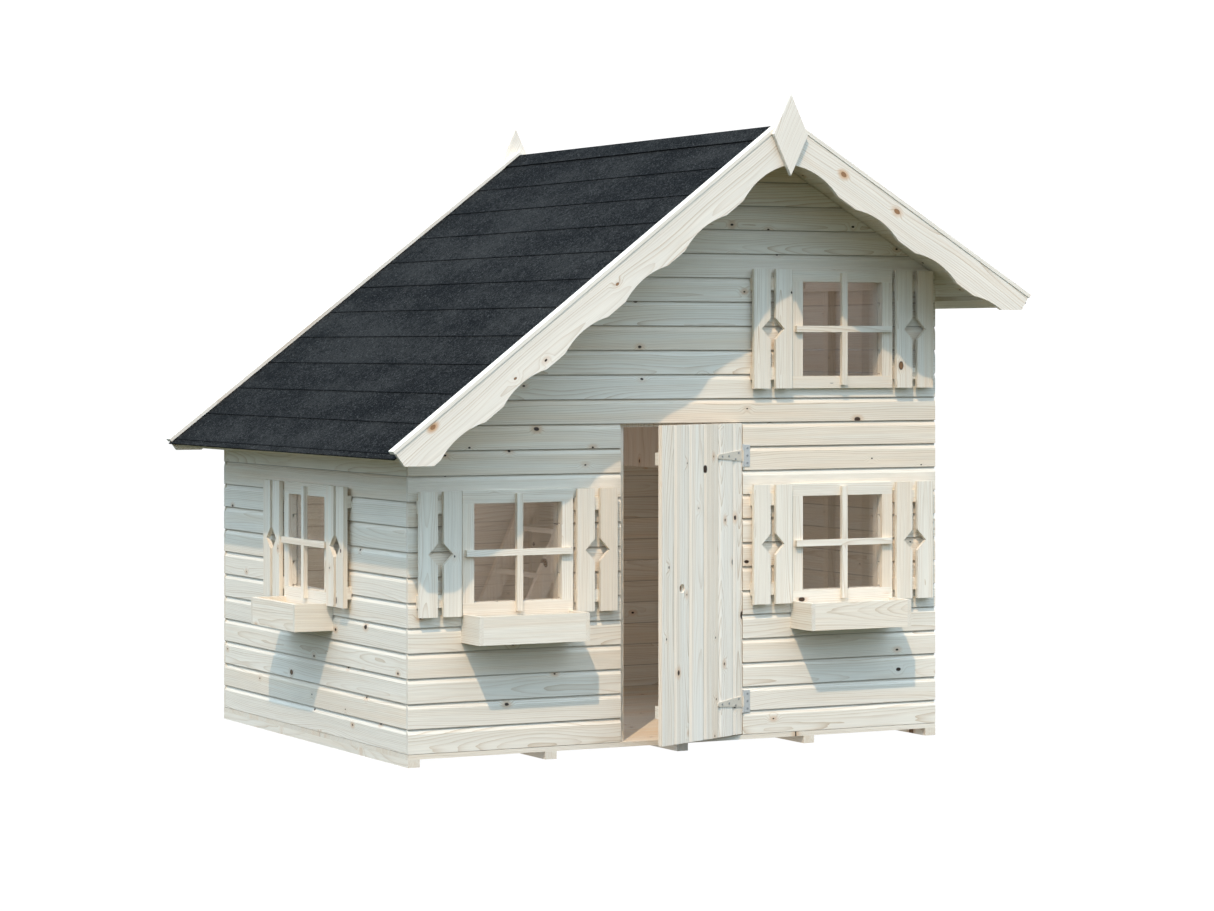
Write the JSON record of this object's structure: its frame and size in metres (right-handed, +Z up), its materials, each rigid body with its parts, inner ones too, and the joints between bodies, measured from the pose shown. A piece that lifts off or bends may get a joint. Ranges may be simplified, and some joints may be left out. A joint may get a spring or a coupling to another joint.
{
  "type": "wooden playhouse",
  "caption": "Child's wooden playhouse with a loft, an uneven shingled gable roof, shuttered windows with flower boxes, scalloped bargeboards and a ledged door on strap hinges.",
  "frame": {"origin": "centre of the floor's footprint, on the ground under the middle joist", "axes": "+X to the right along the front wall seen from outside, +Y from the front wall to the rear wall, +Z up"},
  "size_m": [2.5906, 2.26, 2.3685],
  "materials": {
    "wall_wood": "pale unpainted softwood, planed, horizontal boards",
    "floor_wood": "pale unpainted softwood boards",
    "frame_wood": "pale unpainted softwood battens, sawn and planed",
    "door_wood": "pale unpainted softwood, planed, upright boards",
    "roof_wood": "pale unpainted softwood boards",
    "trim_wood": "pale unpainted softwood, planed",
    "window_wood": "pale unpainted softwood, planed",
    "shutter_wood": "pale unpainted softwood, planed",
    "planter_wood": "pale unpainted softwood, planed",
    "glass": "clear glazing, smooth",
    "steel": "galvanised steel, satin",
    "shingle": "black bitumen shingle with mineral granules, matte"
  },
  "bodies": {
    "house": {"door_frame": "frame_wood", "door_stops": "frame_wood", "eave_battens": "roof_wood", "eave_plates": "frame_wood", "finials": "trim_wood", "floor_boards": "floor_wood", "floor_joists": "floor_wood", "front_bargeboards": "trim_wood", "front_left_casing": "window_wood", "front_left_inner_frame": "frame_wood", "front_left_muntins": "window_wood", "front_left_pane": "glass", "front_left_planter": "planter_wood", "front_left_shutter_boards": "shutter_wood", "front_right_casing": "window_wood", "front_right_inner_frame": "frame_wood", "front_right_muntins": "window_wood", "front_right_pane": "glass", "front_right_planter": "planter_wood", "front_right_shutter_boards": "shutter_wood", "front_upper_casing": "window_wood", "front_upper_inner_frame": "frame_wood", "front_upper_muntins": "window_wood", "front_upper_pane": "glass", "front_upper_shutter_boards": "shutter_wood", "front_wall_boards": "wall_wood", "gable_battens": "frame_wood", "hinge_pins": "steel", "hinge_plate_screws": "steel", "hinge_plates": "steel", "ladder_stringers": "frame_wood", "ladder_treads": "frame_wood", "left_roof_boards": "roof_wood", "left_shingles": "shingle", "left_wall_boards": "wall_wood", "loft_beams": "frame_wood", "loft_boards": "floor_wood", "loft_guard": "frame_wood", "rafters": "frame_wood", "rake_laths": "trim_wood", "rear_bargeboards": "trim_wood", "rear_wall_boards": "wall_wood", "ridge_beam": "frame_wood", "ridge_cap": "shingle", "right_roof_boards": "roof_wood", "right_shingles": "shingle", "right_wall_boards": "wall_wood", "shutter_battens": "shutter_wood", "side_casing": "window_wood", "side_inner_frame": "frame_wood", "side_muntins": "window_wood", "side_pane": "glass", "side_planter": "planter_wood", "side_shutter_boards": "shutter_wood", "wall_posts": "frame_wood"},
    "door": {"door_planks": "door_wood", "door_ledges": "door_wood", "door_brace": "door_wood", "hinge_straps": "steel", "hinge_strap_screws": "steel"}
  },
  "joints": [
    {"name": "door_hinge", "type": "hinge", "parent": "house", "child": "door", "pos_m": [0.25075, -0.8895, 0.617], "axis": [0, 0, 1], "range_deg": [-25.7, 90]}
  ]
}
